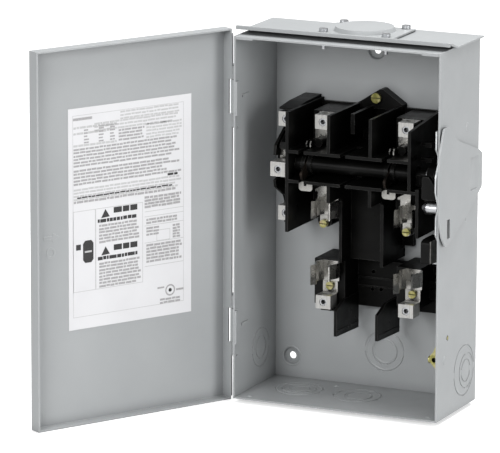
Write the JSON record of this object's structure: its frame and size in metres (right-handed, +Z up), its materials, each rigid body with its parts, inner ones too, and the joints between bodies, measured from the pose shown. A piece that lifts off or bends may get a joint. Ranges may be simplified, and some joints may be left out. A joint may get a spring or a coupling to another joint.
{
  "type": "disconnect switch box",
  "caption": "Wall-mounted sheet-metal disconnect box with a hinged door, side lever, fusible blade switch, neutral lugs and knockouts.",
  "frame": {"origin": "centre of the top mounting hole, in the plane of the wall the box is fixed to", "axes": "+Z up; +Y into the wall, so the door faces -Y; +X to the right of someone facing the door, where the handle is"},
  "size_m": [0.3518, 0.2884, 0.3755],
  "materials": {
    "grey_paint": "smooth baked light grey enamel",
    "black_moulding": "moulded thermoset, slightly glossy",
    "aged_copper": "darkened copper",
    "tinned_copper": "tin plated, bright satin",
    "lug_metal": "tin plated extruded aluminium",
    "zinc_steel": "bright zinc plated",
    "yellow_zinc": "yellow chromated zinc plate",
    "galvanised": "galvanised sheet",
    "gasket_rubber": "closed cell sponge",
    "label_stock": "printed vinyl label",
    "spring_steel": "oiled spring wire"
  },
  "bodies": {
    "box": {"enclosure_shell": "grey_paint", "top_endwall": "grey_paint", "bottom_endwall": "grey_paint", "rain_hood": "grey_paint", "hub_gasket": "gasket_rubber", "hub_cover": "grey_paint", "hub_cover_screws": "zinc_steel", "ground_lug": "yellow_zinc", "ground_screws": "yellow_zinc", "line_base": "black_moulding", "load_base": "black_moulding", "base_screw": "yellow_zinc", "fuse_clip_screws": "yellow_zinc", "neutral_carrier": "black_moulding", "neutral_bar": "tinned_copper", "neutral_lugs": "lug_metal", "neutral_lug_screws": "zinc_steel", "mechanism_plate": "galvanised", "plate_rivets": "zinc_steel", "shaft_bushing": "black_moulding", "snap_spring": "spring_steel", "upper_hinge_leaf": "grey_paint", "upper_hinge_pin": "zinc_steel", "lower_hinge_leaf": "grey_paint", "lower_hinge_pin": "zinc_steel", "hinge_rivets": "grey_paint", "line_lug_screws": "zinc_steel", "load_lug_screws": "zinc_steel", "left_line_terminal": "tinned_copper", "left_load_terminal": "tinned_copper", "left_upper_fuse_clip": "tinned_copper", "left_lower_fuse_clip": "tinned_copper", "left_line_lug": "lug_metal", "left_load_lug": "lug_metal", "right_line_terminal": "tinned_copper", "right_load_terminal": "tinned_copper", "right_upper_fuse_clip": "tinned_copper", "right_lower_fuse_clip": "tinned_copper", "right_line_lug": "lug_metal", "right_load_lug": "lug_metal"},
    "door": {"door_panel": "grey_paint", "door_label": "label_stock"},
    "handle": {"handle_plate": "grey_paint", "handle_shaft": "zinc_steel", "drive_crank": "black_moulding", "crank_pin": "zinc_steel", "retaining_ring": "spring_steel"},
    "rotor": {"rotor_bar": "black_moulding", "switch_blades": "aged_copper", "rotor_journal": "black_moulding"},
    "interlock": {"interlock_slider": "black_moulding", "interlock_plate": "spring_steel"}
  },
  "joints": [
    {"name": "door_hinge", "type": "hinge", "parent": "box", "child": "door", "pos_m": [-0.1135, -0.092, -0.159], "axis": [0, 0, -1], "range_deg": [-120, 60]},
    {"name": "handle_turn", "type": "hinge", "parent": "box", "child": "handle", "pos_m": [0.109, -0.071, -0.1045], "axis": [1, 0, 0], "range_deg": [0, 60]},
    {"name": "rotor_turn", "type": "hinge", "parent": "box", "child": "rotor", "pos_m": [0.008, -0.071, -0.1045], "axis": [1, 0, 0], "range_deg": [0, 60]},
    {"name": "interlock_slide", "type": "slide", "parent": "box", "child": "interlock", "axis": [0, 1, 0], "range_m": [0, 0.005]}
  ],
  "couplings": [
    {"joint": "rotor_turn", "follows": "handle_turn", "ratio": 1}
  ]
}
